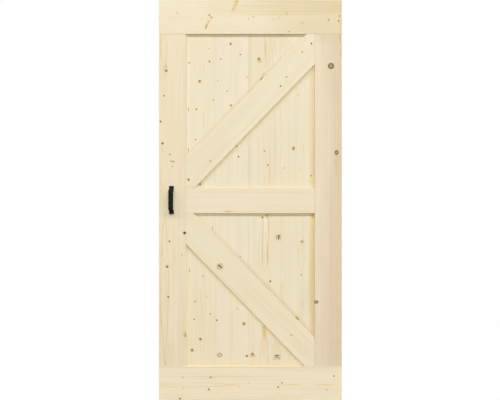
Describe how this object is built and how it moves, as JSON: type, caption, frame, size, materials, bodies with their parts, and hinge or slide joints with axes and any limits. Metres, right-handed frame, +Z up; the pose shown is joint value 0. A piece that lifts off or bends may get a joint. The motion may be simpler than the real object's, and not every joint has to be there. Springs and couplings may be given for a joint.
{
  "type": "sliding barn door leaf",
  "caption": "Barn-style sliding door leaf of knotty spruce: framed plank panel with a middle rail, diagonal bracing and a black pull handle, hung from its top edge.",
  "frame": {"origin": "middle of the leaf's top edge, where hangers fasten", "axes": "+X across the leaf to the right seen from the front, +Y through the leaf from front to back, +Z up"},
  "size_m": [0.96, 0.072, 2.1],
  "materials": {
    "spruce_frame": "planed knotty spruce, unfinished",
    "spruce_panel": "planed knotty spruce planks, unfinished",
    "spruce_bracing": "planed knotty spruce, unfinished",
    "black_steel": "matt black powder coat"
  },
  "bodies": {
    "root": {"top_rail": "spruce_frame", "bottom_rail": "spruce_frame", "left_stile": "spruce_frame", "right_stile": "spruce_frame", "panel_plank_1": "spruce_panel", "panel_plank_2": "spruce_panel", "panel_plank_3": "spruce_panel", "panel_plank_4": "spruce_panel", "front_middle_rail": "spruce_bracing", "front_upper_brace": "spruce_bracing", "front_lower_brace": "spruce_bracing", "back_middle_rail": "spruce_bracing", "back_upper_brace": "spruce_bracing", "back_lower_brace": "spruce_bracing", "pull_handle": "black_steel", "upper_handle_screw": "black_steel", "lower_handle_screw": "black_steel"}
  },
  "joints": []
}
